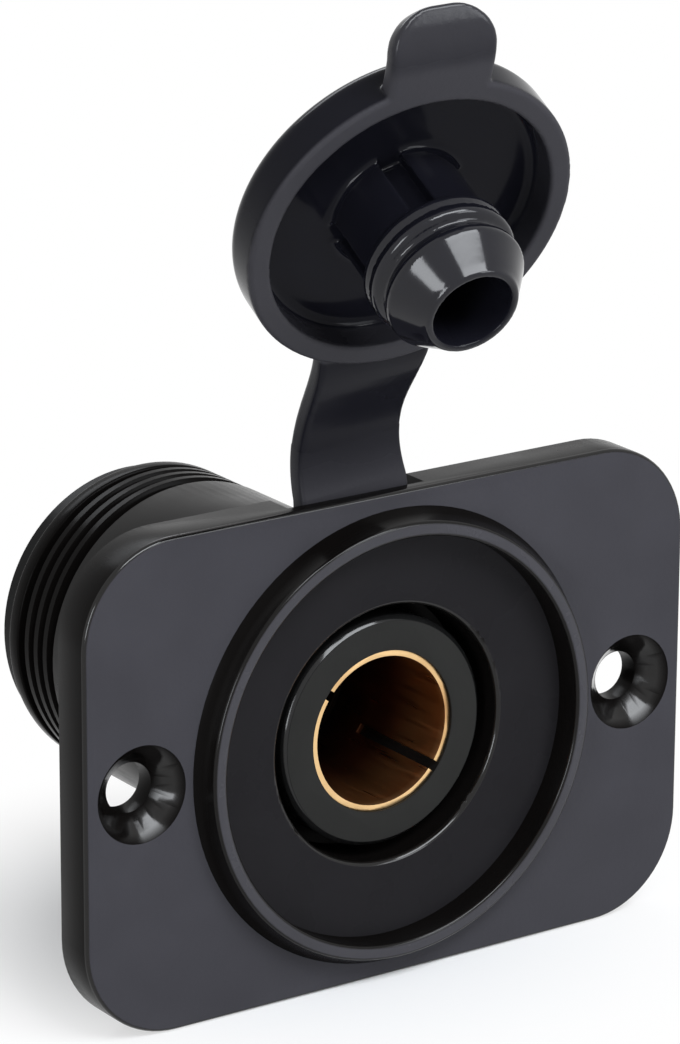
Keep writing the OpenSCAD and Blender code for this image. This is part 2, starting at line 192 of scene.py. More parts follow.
links.new(matte.outputs[0], mixed.inputs[1])
links.new(white.outputs[0], mixed.inputs[2])
links.new(mixed.outputs[0], output.inputs[0])

bpy.ops.object.select_all(action="DESELECT")
bpy.ops.mesh.primitive_plane_add(size=4, location=mm(0, 10, FLOOR_Z))
floor = bpy.context.object
floor.name = "studio_floor"
floor.data.materials.append(floor_material)
floor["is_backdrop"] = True
print("floor at z (mm)", FLOOR_Z)

# %% [markdown]
# ## Sky
# A studio's walls give back a little light from all sides, which opens the shadows.
# It could come from more lamps, but a dim even sky does it without new highlights.

# %% World
SKY = 0.24
world = bpy.data.worlds.new("studio_world")
bpy.context.scene.world = world
world.use_nodes = True
nodes, links = world.node_tree.nodes, world.node_tree.links
nodes.clear()
ambient = nodes.new("ShaderNodeBackground")
ambient.inputs["Color"].default_value = (0.95, 0.97, 1, 1)
ambient.inputs["Strength"].default_value = SKY
white = nodes.new("ShaderNodeBackground")
white.inputs["Color"].default_value = (1, 1, 1, 1)
mixed = nodes.new("ShaderNodeMixShader")
links.new(seen_rays(nodes, links), mixed.inputs[0])
links.new(ambient.outputs[0], mixed.inputs[1])
links.new(white.outputs[0], mixed.inputs[2])
output = nodes.new("ShaderNodeOutputWorld")
links.new(mixed.outputs[0], output.inputs[0])
bpy.context.scene.view_settings.view_transform = "Standard"
print("sky strength", SKY)

# %% [markdown]
# ## Lamps
# A black part shows its form mostly by the highlights on its edges and cones.
# Very large lamps would drown in the white ground's reflection, so these are fairly small and
# strong. The key from above lights the plate, the one at the left draws the plug's cone and
# the countersinks, and the one behind gives the barrel's top and the plate's edge a light rim.

# %% Lamps


def softbox(name, place, target, width, height, power):
    """A rectangular lamp at a place that looks at the target; sizes in metres, power in watts."""
    bpy.ops.object.light_add(type="AREA", location=place)
    lamp = bpy.context.object
    lamp.name = name
    lamp.data.shape = "RECTANGLE"
    lamp.data.size = width
    lamp.data.size_y = height
    lamp.data.energy = power
    lamp.data.color = (0.93, 0.96, 1)
    lamp.rotation_euler = (target - place).to_track_quat("-Z", "Y").to_euler()
    return lamp


centre = mm(0, 0, 12)
softbox("key_above", centre + mm(43, -275, 327), centre, 0.34, 0.15, 1.9)
softbox("side_left", centre + mm(-408, -240, 72), centre, 0.11, 0.22, 0.85)
softbox("front_right", centre + mm(185, -345, 175), centre, 0.16, 0.14, 0.4)
softbox("rim_behind", centre + mm(60, 330, 262), centre, 0.3, 0.1, 0.5)

# %% [markdown]
# ## Plastic and rubber finishes
# The plate and barrel are one injection moulding in black plastic. Its flat faces to the front
# and rear have a fine satin grain, and its walls, cones and barrel are smooth. The floor inside
# the ring takes the smooth side too, whose darker colour paints the shade in that recess.
# One roughness for all would lose the dark, glossy rims that frame the socket.
# So each finish mixes a satin and a polished roughness by a mask, and has a fine grain that
# fades where the mould was polished. The noises read Object coordinates, in metres.
#
# Real plastic has an index of refraction near 1.5. In front of a white ground that turns every
# glancing face pale grey, while the photograph keeps its blacks, as dark screens beside the
# object would do. A lower index stands in for such screens. Small places that do shine in the
# photograph get their index back by an attribute named lustre, which is painted on the mesh.

# %% A moulded finish with a satin and a polished side
LUSTRE_ROUGH, LUSTRE_INDEX = 0.11, 1.39


def moulded(name, satin, polished, grain, depth):
    """Principled material for moulded parts, and the sockets where its mask goes in.
    satin and polished each give a colour, a roughness range and an index of refraction;
    grain counts per millimetre and depth is the bump's distance in metres. Where the piece's
    attribute lustre is 1, roughness and index go to LUSTRE_ROUGH and LUSTRE_INDEX."""
    material, nodes, links = node_tree(name)
    output = nodes.new("ShaderNodeOutputMaterial")
    shader = nodes.new("ShaderNodeBsdfPrincipled")
    links.new(shader.outputs[0], output.inputs[0])
    place = nodes.new("ShaderNodeTexCoord")
    cloud = nodes.new("ShaderNodeTexNoise")
    cloud.inputs["Scale"].default_value = 140
    cloud.inputs["Detail"].default_value = 6
    links.new(place.outputs["Object"], cloud.inputs["Vector"])
    values = []
    for _, low, high, _ in (satin, polished):
        gloss = nodes.new("ShaderNodeMapRange")
        gloss.inputs["From Min"].default_value = 0.3
        gloss.inputs["From Max"].default_value = 0.7
        gloss.inputs["To Min"].default_value = low
        gloss.inputs["To Max"].default_value = high
        links.new(cloud.outputs[0], gloss.inputs["Value"])
        values.append(gloss.outputs[0])
    rough = nodes.new("ShaderNodeMix")
    links.new(values[0], rough.inputs["A"])
    links.new(values[1], rough.inputs["B"])
    lustre = nodes.new("ShaderNodeAttribute")
    lustre.attribute_name = "lustre"
    smooth = nodes.new("ShaderNodeMapRange")
    smooth.inputs["To Max"].default_value = LUSTRE_ROUGH
    links.new(lustre.outputs["Fac"], smooth.inputs["Value"])
    links.new(rough.outputs["Result"], smooth.inputs["To Min"])
    links.new(smooth.outputs[0], shader.inputs["Roughness"])
    tones = []
    for colour, _, _, _ in (satin, polished):
        tone = nodes.new("ShaderNodeMixRGB")
        tone.inputs[1].default_value = (*[c * 0.8 for c in colour], 1)
        tone.inputs[2].default_value = (*[c * 1.2 for c in colour], 1)
        links.new(cloud.outputs[0], tone.inputs[0])
        tones.append(tone.outputs[0])
    shade = nodes.new("ShaderNodeMixRGB")
    links.new(tones[0], shade.inputs[1])
    links.new(tones[1], shade.inputs[2])
    links.new(shade.outputs[0], shader.inputs["Base Color"])
    shine = nodes.new("ShaderNodeMapRange")
    shine.inputs["To Min"].default_value = satin[3]
    shine.inputs["To Max"].default_value = polished[3]
    gleam = nodes.new("ShaderNodeMapRange")
    gleam.inputs["To Max"].default_value = LUSTRE_INDEX
    links.new(lustre.outputs["Fac"], gleam.inputs["Value"])
    links.new(shine.outputs[0], gleam.inputs["To Min"])
    links.new(gleam.outputs[0], shader.inputs["IOR"])
    fine = nodes.new("ShaderNodeTexNoise")
    fine.inputs["Scale"].default_value = grain * 1000
    fine.inputs["Detail"].default_value = 3
    links.new(place.outputs["Object"], fine.inputs["Vector"])
    strength = nodes.new("ShaderNodeMapRange")
    strength.inputs["To Min"].default_value = 0.6
    strength.inputs["To Max"].default_value = 0.06
    bump = nodes.new("ShaderNodeBump")
    bump.inputs["Distance"].default_value = depth
    links.new(strength.outputs[0], bump.inputs["Strength"])
    links.new(fine.outputs[0], bump.inputs["Height"])
    links.new(bump.outputs[0], shader.inputs["Normal"])
    masked = (
        rough.inputs["Factor"], strength.inputs["Value"], shade.inputs[0], shine.inputs["Value"],
    )
    return material, masked


# %% [markdown]
# ## Where a finish is satin
# The hard parts are satin on their flat faces, so the direction of a face tells its finish.
# The floor inside the ring also looks to the front but is darker, because it lies in shade.
# That shade is painted: front faces behind a set depth take the polished side's darker colour.
# The rubber cap's border between satin and polished follows its form, not its directions, so
# there the mask is an attribute that is painted on the mesh later.

# %% Masks for the polished side
MASK_BLEND = 0.0004


def mask_by_front(material, sockets, front):
    """Satin where a face looks straight to the front or the rear, and polished elsewhere.
    Faces to the front are satin only before y = front, in metres. Behind it they take the
    polished side's darker colour, which paints the shade in recesses such as the ring's floor."""
    nodes, links = material.node_tree.nodes, material.node_tree.links
    shape = nodes.new("ShaderNodeNewGeometry")
    place = nodes.new("ShaderNodeTexCoord")
    facing, depth = nodes.new("ShaderNodeSeparateXYZ"), nodes.new("ShaderNodeSeparateXYZ")
    links.new(shape.outputs["Normal"], facing.inputs[0])
    links.new(place.outputs["Object"], depth.inputs[0])
    turned, behind = nodes.new("ShaderNodeMapRange"), nodes.new("ShaderNodeMapRange")
    turned.inputs["From Min"].default_value = -0.99
    turned.inputs["From Max"].default_value = -0.9
    links.new(facing.outputs["Y"], turned.inputs["Value"])
    # Painted shade: front faces behind this depth get the darker polished colour.
    behind.inputs["From Min"].default_value = front - MASK_BLEND
    behind.inputs["From Max"].default_value = front + MASK_BLEND
    links.new(depth.outputs["Y"], behind.inputs["Value"])
    either = nodes.new("ShaderNodeMath")
    either.operation = "MAXIMUM"
    links.new(turned.outputs[0], either.inputs[0])
    links.new(behind.outputs[0], either.inputs[1])
    not_rear = nodes.new("ShaderNodeMapRange")
    not_rear.inputs["From Min"].default_value = 0.9
    not_rear.inputs["From Max"].default_value = 0.99
    not_rear.inputs["To Min"].default_value = 1
    not_rear.inputs["To Max"].default_value = 0
    links.new(facing.outputs["Y"], not_rear.inputs["Value"])
    both = nodes.new("ShaderNodeMath")
    both.operation = "MULTIPLY"
    links.new(either.outputs[0], both.inputs[0])
    links.new(not_rear.outputs[0], both.inputs[1])
    for socket in sockets:
        links.new(both.outputs[0], socket)
    return material


def mask_by_attribute(material, sockets, name):
    """Polished where the piece's own attribute is 1."""
    nodes, links = material.node_tree.nodes, material.node_tree.links
    mask = nodes.new("ShaderNodeAttribute")
    mask.attribute_name = name
    for socket in sockets:
        links.new(mask.outputs["Fac"], socket)
    return material


# The floor inside the ring lies behind y = -3.2 mm, so it gets the darker colour as painted
# shade.
black_plastic = mask_by_front(*moulded(
    "moulded_black_plastic",
    satin=((0.038, 0.037, 0.043), 0.44, 0.56, 1.19),
    polished=((0.0035, 0.003, 0.0028), 0.16, 0.28, 1.105),
    grain=2.2, depth=0.00003), front=-0.0032)
insert_plastic = mask_by_front(*moulded(
    "smooth_black_plastic",
    satin=((0.017, 0.017, 0.016), 0.4, 0.52, 1.17),
    polished=((0.006, 0.006, 0.006), 0.2, 0.32, 1.13),
    grain=2.6, depth=0.00002), front=-0.001)
cap_rubber = mask_by_attribute(*moulded(
    "black_rubber",
    satin=((0.034, 0.033, 0.038), 0.40, 0.54, 1.19),
    polished=((0.006, 0.006, 0.009), 0.08, 0.16, 1.15),
    grain=1.8, depth=0.00003), name="polish_and_shade")
print("finishes:", black_plastic.name, insert_plastic.name, cap_rubber.name)

# %% [markdown]
# ## Metal finishes
# The sleeve and the centre contact are drawn from brass, so fine marks run along the axis.
# The blades are stamped from brass sheet, and the rivets are plated steel.
# A noise stretched along one axis gives drawn marks, and a soft noise gives a light tarnish.
# In the photograph the sleeve's rim is bright and its inside goes from copper red to near
# black. One brass would reflect the white ground far into the bore, so the bore's shade is
# painted into its colour, which turns darker with the depth.

# %% Drawn and plated metal


def metal(name, colour, tarnish, shade_inside, low, high, stretch):
    """Metallic material with marks stretched along an axis; stretch scales X, Y and Z.
    The list of painted shade inside the bore gives a colour, and the depths in mm between
    which it takes over, so the brass turns darker further in."""
    material, nodes, links = node_tree(name)
    output = nodes.new("ShaderNodeOutputMaterial")
    shader = nodes.new("ShaderNodeBsdfPrincipled")
    shader.inputs["Metallic"].default_value = 1
    links.new(shader.outputs[0], output.inputs[0])
    place = nodes.new("ShaderNodeTexCoord")
    turn = nodes.new("ShaderNodeMapping")
    turn.inputs["Scale"].default_value = stretch
    links.new(place.outputs["Object"], turn.inputs["Vector"])
    marks = nodes.new("ShaderNodeTexNoise")
    marks.inputs["Scale"].default_value = 1
    marks.inputs["Detail"].default_value = 4
    links.new(turn.outputs[0], marks.inputs["Vector"])
    cloud = nodes.new("ShaderNodeTexNoise")
    cloud.inputs["Scale"].default_value = 220
    cloud.inputs["Detail"].default_value = 4
    links.new(place.outputs["Object"], cloud.inputs["Vector"])
    shade = nodes.new("ShaderNodeMixRGB")
    shade.inputs[1].default_value = (*colour, 1)
    shade.inputs[2].default_value = (*tarnish, 1)
    fade = nodes.new("ShaderNodeMapRange")
    fade.inputs["From Min"].default_value = 0.45
    fade.inputs["From Max"].default_value = 0.8
    links.new(cloud.outputs[0], fade.inputs["Value"])
    links.new(fade.outputs[0], shade.inputs[0])
    spot = nodes.new("ShaderNodeSeparateXYZ")
    links.new(place.outputs["Object"], spot.inputs[0])
    tarnish_and_shade = shade.outputs[0]
    # Painted shade: each listed colour takes over further in the bore, so the brass darkens
    # inwards.
    for tone, start, stop in shade_inside:
        inward = nodes.new("ShaderNodeMapRange")
        inward.inputs["From Min"].default_value = start * MM
        inward.inputs["From Max"].default_value = stop * MM
        links.new(spot.outputs["Y"], inward.inputs["Value"])
        painted_dark = nodes.new("ShaderNodeMixRGB")
        painted_dark.inputs[2].default_value = (*tone, 1)
        links.new(inward.outputs[0], painted_dark.inputs[0])
        links.new(tarnish_and_shade, painted_dark.inputs[1])
        tarnish_and_shade = painted_dark.outputs[0]
    links.new(tarnish_and_shade, shader.inputs["Base Color"])
    gloss = nodes.new("ShaderNodeMapRange")
    gloss.inputs["To Min"].default_value = low
    gloss.inputs["To Max"].default_value = high
    links.new(marks.outputs[0], gloss.inputs["Value"])
    links.new(gloss.outputs[0], shader.inputs["Roughness"])
    bump = nodes.new("ShaderNodeBump")
    bump.inputs["Distance"].default_value = 0.00001
    bump.inputs["Strength"].default_value = 0.4
    links.new(marks.outputs[0], bump.inputs["Height"])
    links.new(bump.outputs[0], shader.inputs["Normal"])
    return material


# Painted shade of the bore: a colour, and the depths in mm from the rim inwards where it takes
# over.
BORE_SHADE = [
    ((0.58, 0.29, 0.12), -1.9, -1.2),
    ((0.34, 0.13, 0.06), 1.5, 5.5),
    ((0.03, 0.018, 0.012), 7.5, 12.0),
]
sleeve_brass = metal(
    "drawn_brass", (0.88, 0.60, 0.30), (0.56, 0.30, 0.12), BORE_SHADE,
    0.2, 0.42, (3000, 150, 3000))
terminal_brass = metal(
    "stamped_brass", (0.83, 0.66, 0.38), (0.60, 0.43, 0.22), [], 0.2, 0.45, (2500, 200, 2500))
rivet_steel = metal(
    "plated_steel", (0.62, 0.62, 0.63), (0.45, 0.45, 0.46), [], 0.22, 0.4, (1500, 1500, 1500))
print("metals:", sleeve_brass.name, terminal_brass.name, rivet_steel.name)

# %% [markdown]
# ## Finishes on the CAD parts
# Each hard CAD node takes its finish by name, so a part that is seen as it is, such as a blade,
# and a part that a skin will cover both have the right material.

# %% Give the CAD nodes their finishes
FINISH = {
    "housing": black_plastic,
    "insert": insert_plastic,
    "rear_cover": insert_plastic,
    "contact_sleeve": sleeve_brass,
    "centre_contact": sleeve_brass,
    "sleeve_terminal": terminal_brass,
    "centre_terminal": terminal_brass,
    "sleeve_rivet": rivet_steel,
    "centre_rivet": rivet_steel,
}
for name, material in FINISH.items():
    slots = frame["nodes"][name].material_slots
    for slot in slots:
        slot.material = material
print("finished CAD nodes:", len(FINISH))

# %% [markdown]
# ## Small helpers for modelling
# Every piece below is modelled as by hand: start from a primitive, then work in edit mode.
# An operator acts on all that is selected, so each piece is made the only selected one first.

# %% Helpers


def only(obj):
    """Makes obj the only selected object."""
    if bpy.context.object and bpy.context.object.mode != "OBJECT":
        bpy.ops.object.mode_set(mode="OBJECT")
    bpy.ops.object.select_all(action="DESELECT")
    obj.select_set(True)
    bpy.context.view_layer.objects.active = obj


def edit(obj):
    only(obj)
    bpy.ops.object.mode_set(mode="EDIT")


def done(obj):
    bpy.ops.object.mode_set(mode="OBJECT")
    return obj


def settle(obj, matrix=None):
    """Moves obj by a matrix and puts its place into its mesh."""
    only(obj)
    if matrix is not None:
        obj.matrix_world = matrix @ obj.matrix_world
    bpy.ops.object.transform_apply(location=True, rotation=True, scale=True)
    return obj


def finish_with(obj, kind, **values):
    """Adds a modifier with its values and applies it."""
    only(obj)
    bpy.ops.object.modifier_add(type=kind)
    modifier = obj.modifiers[-1]
    for key, value in values.items():
        setattr(modifier, key, value)
    bpy.ops.object.modifier_apply(modifier=modifier.name)
    return obj


def triangles(obj):
    return sum(len(p.vertices) - 2 for p in obj.data.polygons)


def traced(name, points):
    """A line of vertices, extruded from one point to the next. Points are (x, y, z) in mm."""
    bpy.ops.object.select_all(action="DESELECT")
    bpy.ops.mesh.primitive_plane_add(size=0.001, location=(0, 0, 0))
    obj = bpy.context.object
    obj.name = name
    edit(obj)
    bpy.ops.mesh.select_all(action="SELECT")
    bpy.ops.mesh.merge(type="CENTER")
    bpy.ops.transform.translate(value=mm(*points[0]))
    for a, b in zip(points, points[1:]):
        step = mm(*b) - mm(*a)
        bpy.ops.mesh.extrude_region_move(TRANSFORM_OT_translate={"value": step})
    return done(obj)


def spun(name, section, steps):
    """A turned piece round Y from a section of (radius, y) points in mm."""
    obj = traced(name, [(r, y, 0) for r, y in section])
    edit(obj)
    bpy.ops.mesh.select_all(action="SELECT")
    bpy.ops.mesh.spin(steps=steps, angle=math.tau, center=(0, 0, 0), axis=(0, 1, 0))
    bpy.ops.mesh.select_all(action="SELECT")
    bpy.ops.mesh.remove_doubles(threshold=0.000002)
    bpy.ops.mesh.normals_make_consistent(inside=False)
    return done(obj)


def arc(centre, radius, start, stop, steps):
    """Points on an arc, as (x, y) in mm, with its angles in degrees."""
    angles = [math.radians(start + (stop - start) * i / steps) for i in range(steps + 1)]
    return [(centre[0] + radius * math.cos(a), centre[1] + radius * math.sin(a)) for a in angles]


def ramp(value, low, high):
    """0 below low, 1 above high and a soft step between them."""
    t = min(max((value - low) / (high - low), 0), 1)
    return t * t * (3 - 2 * t)


def paint(obj, name, value_at):
    """Stores a value for each point of the mesh. value_at takes the point in mm."""
    layer = obj.data.attributes.new(name, "FLOAT", "POINT")
    layer.data.foreach_set("value", [value_at(v.co / MM) for v in obj.data.vertices])


# %% [markdown]
# ## Clean skins for housing, insert and sleeve
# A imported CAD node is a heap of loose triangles, and its shading shows streaks on flat faces.
# The node itself is left alone. A copy is merged, its flat faces are made whole again and its
# sharp edges get a hair-wide bevel, which is what catches the light on a real moulding.
# Then lustre is painted on the points of the cones and rounded edges. A value on a corner of
# a large flat face would spread over that whole face, so those points are left out by depth.

# %% Skin a CAD node


def skinned(name, node, material, bevel):
    """A clean copy of a CAD node with small bevels. bevel is in mm."""
    only(frame["nodes"][node])
    bpy.ops.object.duplicate()
    obj = bpy.context.object
    bpy.ops.object.parent_clear(type="CLEAR_KEEP_TRANSFORM")
    obj.name = name
    edit(obj)
    bpy.ops.mesh.select_all(action="SELECT")
    bpy.ops.mesh.remove_doubles(threshold=0.000001)
    bpy.ops.mesh.customdata_custom_splitnormals_clear()
    bpy.ops.mesh.select_all(action="SELECT")
    bpy.ops.mesh.dissolve_limited(angle_limit=math.radians(0.4))
    done(obj)
    finish_with(
        obj, "BEVEL", width=bevel * MM, segments=2, limit_method="ANGLE",
        angle_limit=math.radians(32), harden_normals=False, use_clamp_overlap=True,
    )
    only(obj)
    bpy.ops.object.shade_smooth_by_angle(angle=math.radians(30))
    obj.data.materials.clear()
    obj.data.materials.append(material)
    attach(obj, "socket")
    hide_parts(node)
    print(name, triangles(obj), "triangles")
    return obj


SCREW_X, CORNER_X, CORNER_Z = 23, 20, 11.75
BEHIND_FRONT, BEHIND_FLOOR, RING_TOP = -3.57, -2.97, -5.02


def lustre_of_housing(point):
    """Bright in the countersinks, round the insert's hole and on the plate's front edge, and
    a little less on the ring's top. The point is in mm."""
    x, y, z = point
    r = math.hypot(x, z)
    away = math.hypot(abs(x) - SCREW_X, z)
    outline = math.hypot(max(abs(x) - CORNER_X, 0), max(abs(z) - CORNER_Z, 0))
    screw = y > BEHIND_FRONT and 2.03 < away < 4.0
    mouth = 10.35 < r < 10.95 and BEHIND_FLOOR < y < -2.4
    edge = BEHIND_FRONT < y < -3.27 and outline > 7.6
    ring = 0.6 if y < RING_TOP else 0
    return max(float(screw or mouth or edge), ring)


def lustre_of_insert(point):
    """Bright on the rounded outer edge of the nose. The point is in mm."""
    x, y, z = point
    return float(-2.18 < y < -1.75 and math.hypot(x, z) > 8.9)


housing = skinned("plate_and_barrel", "housing", black_plastic, 0.08)
paint(housing, "lustre", lustre_of_housing)
insert = skinned("bore_insert", "insert", insert_plastic, 0.05)
paint(insert, "lustre", lustre_of_insert)
sleeve = skinned("brass_sleeve", "contact_sleeve", sleeve_brass, 0.1)

# %% [markdown]
# ## Cap and plug
# The cap is one rubber moulding: a shallow cup with a hollow plug, a pull tab and the strap.
# The cup and plug are round, so their half section is traced once and spun round the axis.
# The section is drawn in the cap's own frame, with the rim in the plane y = 0 and the plug
# towards -Y, because a spin round a main axis is easy to check.

# %% Trace and spin the cap
CAP_R, RIM, CAP_H, BACK = 13.0, 1.7, 4.2, 1.4
CUP_R, CUP_DEPTH = CAP_R - RIM, CAP_H - BACK
BEAD_OUT, NOSE_R, STEM_R, WAIST_R, HOLE_R, TIP_R = 5.75, 5.45, 5.1, 5.0, 3.1, 3.75
BEAD_R, BEADS, TIP = 0.6, (-3.9, -5.0), -10.0
NOSE_START, NOSE_END = -6.4, -7.2
bead_x = BEAD_OUT - BEAD_R
bead_top = math.degrees(math.acos((STEM_R - bead_x) / BEAD_R))
bead_meet = math.degrees(math.asin((BEADS[0] - BEADS[1]) / 2 / BEAD_R))
bead_end = math.degrees(math.acos((WAIST_R - bead_x) / BEAD_R))
cap_section = (
    [(0, CAP_H)]
    + arc((CAP_R - 1.5, CAP_H - 1.5), 1.5, 90, 0, 10)
    + arc((CAP_R - 0.3, 0.3), 0.3, 0, -90, 4)
    + arc((CUP_R + 0.15, 0.15), 0.15, -90, -180, 3)
    + arc((CUP_R - 0.8, CUP_DEPTH - 0.8), 0.8, 0, 90, 6)
    + arc((STEM_R + 0.6, CUP_DEPTH - 0.6), 0.6, 90, 180, 6)
    + arc((bead_x, BEADS[0]), BEAD_R, bead_top, -bead_meet, 10)
    + arc((bead_x, BEADS[1]), BEAD_R, bead_meet, -bead_end, 10)
    + [(WAIST_R, NOSE_START)]
    + arc((NOSE_R - 0.3, NOSE_START - 0.3), 0.3, 90, 0, 4)
    + [(NOSE_R, NOSE_END)]
    + arc((TIP_R - 0.35, TIP + 0.35), 0.35, 0, -90, 5)
    + arc((HOLE_R + 0.2, TIP + 0.2), 0.2, -90, -180, 3)
    + [(HOLE_R, TIP + 8.6)]
    + arc((HOLE_R - 0.4, TIP + 8.6), 0.4, 0, 90, 4)
    + [(0, TIP + 9)]
)
cap = spun("cap_moulding", cap_section, 160)
print("cap and plug:", triangles(cap), "triangles")

# %% [markdown]
# ## Grooves of the plug
# Four short grooves run down the stem, so that the plug can squeeze into the socket.
# A groove is a slot, so a small box is cut away from the stem at each quarter turn.
# The first stands at 72 degrees, where the photograph shows one to the upper left.

# %% Cut the grooves
GROOVE_SIZE, GROOVE_Y = (2.2, 5.98, 1.8), -0.21
for turn in (72, 162, 252, 342):
    bpy.ops.object.select_all(action="DESELECT")
    bpy.ops.mesh.primitive_cube_add(
        size=MM, scale=GROOVE_SIZE, location=mm(STEM_R - 0.1, GROOVE_Y, 0))
    cutter = settle(bpy.context.object)
    settle(cutter, Matrix.Rotation(math.radians(turn), 4, "Y"))
    finish_with(cap, "BOOLEAN", operation="DIFFERENCE", solver="EXACT", object=cutter)
    bpy.data.objects.remove(cutter)
print("after the grooves:", triangles(cap), "triangles")

# %% [markdown]
# ## Pull tab
# The tab leaves the rim flush with its face and then curls to the rear, for a fingertip.
# It starts as a flat face, is extruded outwards, and each further step is turned a little
# round the centre of the curl. Its last steps narrow, which rounds its corners.

# %% Extrude and curl the tab
TAB_W, TAB_T, TAB_FLAT, CURL_R, TAB_CORNER = 8.4, 1.5, 14.0, 6.0, 3.4
bpy.ops.object.select_all(action="DESELECT")
bpy.ops.mesh.primitive_plane_add(size=MM, location=mm(0, TAB_T / 2, 11.6))
tab = bpy.context.object
tab.name = "tab_blank"
tab.scale = (TAB_W, TAB_T, 1)
settle(tab)
edit(tab)
bpy.ops.mesh.select_all(action="SELECT")
bpy.ops.mesh.bevel(offset=0.45 * MM, segments=4, affect="VERTICES")
bpy.ops.mesh.select_all(action="SELECT")
bpy.ops.mesh.extrude_region_move(TRANSFORM_OT_translate={"value": mm(0, 0, TAB_FLAT - 11.6)})
CURL_LEN, STEPS = 5.2, 26


def tab_half(left):
    """Half width of the tab at a distance from its end."""
    if left >= TAB_CORNER:
        return TAB_W / 2
    return TAB_W / 2 - TAB_CORNER + math.sqrt(max(TAB_CORNER**2 - (TAB_CORNER - left) ** 2, 0.04))


cuts = [CURL_LEN * (1 - (1 - i / STEPS) ** 1.6) for i in range(STEPS + 1)]
for a, b in zip(cuts, cuts[1:]):
    bpy.ops.mesh.extrude_region_move(TRANSFORM_OT_translate={"value": (0, 0, 0)})
    bpy.ops.transform.rotate(
        value=(b - a) / CURL_R, orient_axis="X", orient_type="GLOBAL",
        center_override=mm(0, CURL_R, TAB_FLAT),
    )
    ratio = tab_half(CURL_LEN - b) / tab_half(CURL_LEN - a)
    bpy.ops.transform.resize(value=(ratio, 1, 1), center_override=mm(0, CURL_R, TAB_FLAT))
bpy.ops.mesh.select_all(action="SELECT")
bpy.ops.mesh.normals_make_consistent(inside=False)
done(tab)
tab_top = max(v.co.z for v in tab.data.vertices) / MM
tab_rear = max(v.co.y for v in tab.data.vertices) / MM
print("tab top (mm)", round(tab_top, 2), "rear", round(tab_rear, 2))

# %% [markdown]
# ## Strap
# The strap is a flat band that leaves the plate's top edge and carries the cap.
# It could be lofted point by point, but a maker would cut it straight and then bend it.
# So a straight blank is extruded along X with a narrow waist, and a Curve modifier bends it
# along a centre line close to the CAD part's.
# The cap leans forward and is turned a little to the side. In the photograph it also sits
# turned round its own axis by 3.6 degrees, which shows where the tab and strap leave the rim,
# so the cap and the line's last handle get that small turn too.

# %% Draw the strap's centre line
NECK = Vector((-2.8, -1.6, 20.0))
TWIST, LEAN, OWN_TURN = math.radians(-6), math.radians(25.5), math.radians(-3.6)
LUG_BACK, LUG_DOWN = 1.9, 13.4
SQUARE = Matrix.Rotation(TWIST, 4, "Z") @ Matrix.Rotation(LEAN, 4, "X")
CAP_TURN = SQUARE @ Matrix.Rotation(OWN_TURN, 4, "Y")
cap_up = CAP_TURN @ Vector((0, 0, 1))
cap_rear = CAP_TURN @ Vector((0, 1, 0))
CAP_CENTRE = Vector((-5.0, -6.15, 32.2)) + SQUARE @ Vector((0, -LUG_BACK, LUG_DOWN))
TOP = CAP_CENTRE + cap_rear * LUG_BACK - cap_up * LUG_DOWN
LEAD = 4.0
route = [
    (NECK - Vector((0, 0, LEAD)), NECK - Vector((0, 0, LEAD + 1)),
     NECK - Vector((0, 0, LEAD - 1.3))),
    (NECK, NECK - Vector((0, 0.15, 1.3)), NECK + Vector((-0.5, 1.7, 5.5))),
    (TOP, TOP - cap_up * 4, TOP + cap_up),
]


def strap_line(tilts):
    """A smooth line through the route's points; tilts twist it at each point, in radians."""
    bpy.ops.object.select_all(action="DESELECT")
    bpy.ops.curve.primitive_bezier_curve_add()
    line = bpy.context.object
    line.location = (0, 0, 0)
    spline = line.data.splines[0]
    spline.bezier_points.add(1)
    for point, (co, left, right_handle), tilt in zip(spline.bezier_points, route, tilts):
        point.handle_left_type = point.handle_right_type = "FREE"
        point.co, point.handle_left, point.handle_right = co * MM, left * MM, right_handle * MM
        point.tilt = tilt
    line.data.twist_mode = "MINIMUM"
    line.data.resolution_u = 64
    return line


def reach(a, b, c, d, steps=400):
    """Length of a cubic curve."""
    points = []
    for i in range(steps + 1):
        t = i / steps
        u = 1 - t
        points.append(a * u**3 + b * 3 * u * u * t + c * 3 * u * t * t + d * t**3)
    return sum((q - p).length for p, q in zip(points, points[1:]))


STRAP_LEN = reach(route[1][0], route[1][2], route[2][1], route[2][0])
print("strap's free length (mm)", round(STRAP_LEN, 2))

# %% [markdown]
# ## Two lengths of strap
# The joints bend the strap in two places, so it is made in two lengths that overlap inside
# each other: the lower one belongs to the collar and the upper one to the cap.
# The upper one starts a hair thinner, so that no two faces lie in the same place.

# %% Cut the straight blank and bend it
STRAP_T, EDGE_ROUND, NECK_HALF = 1.6, 0.35, 4.9


def strap_width(x):
    """Half width at a distance from the neck: widest at the neck, narrow at the waist."""
    t = min(max(x / STRAP_LEN, 0), 1)
    return NECK_HALF - 0.25 * t - 0.3 * math.sin(math.pi * t)


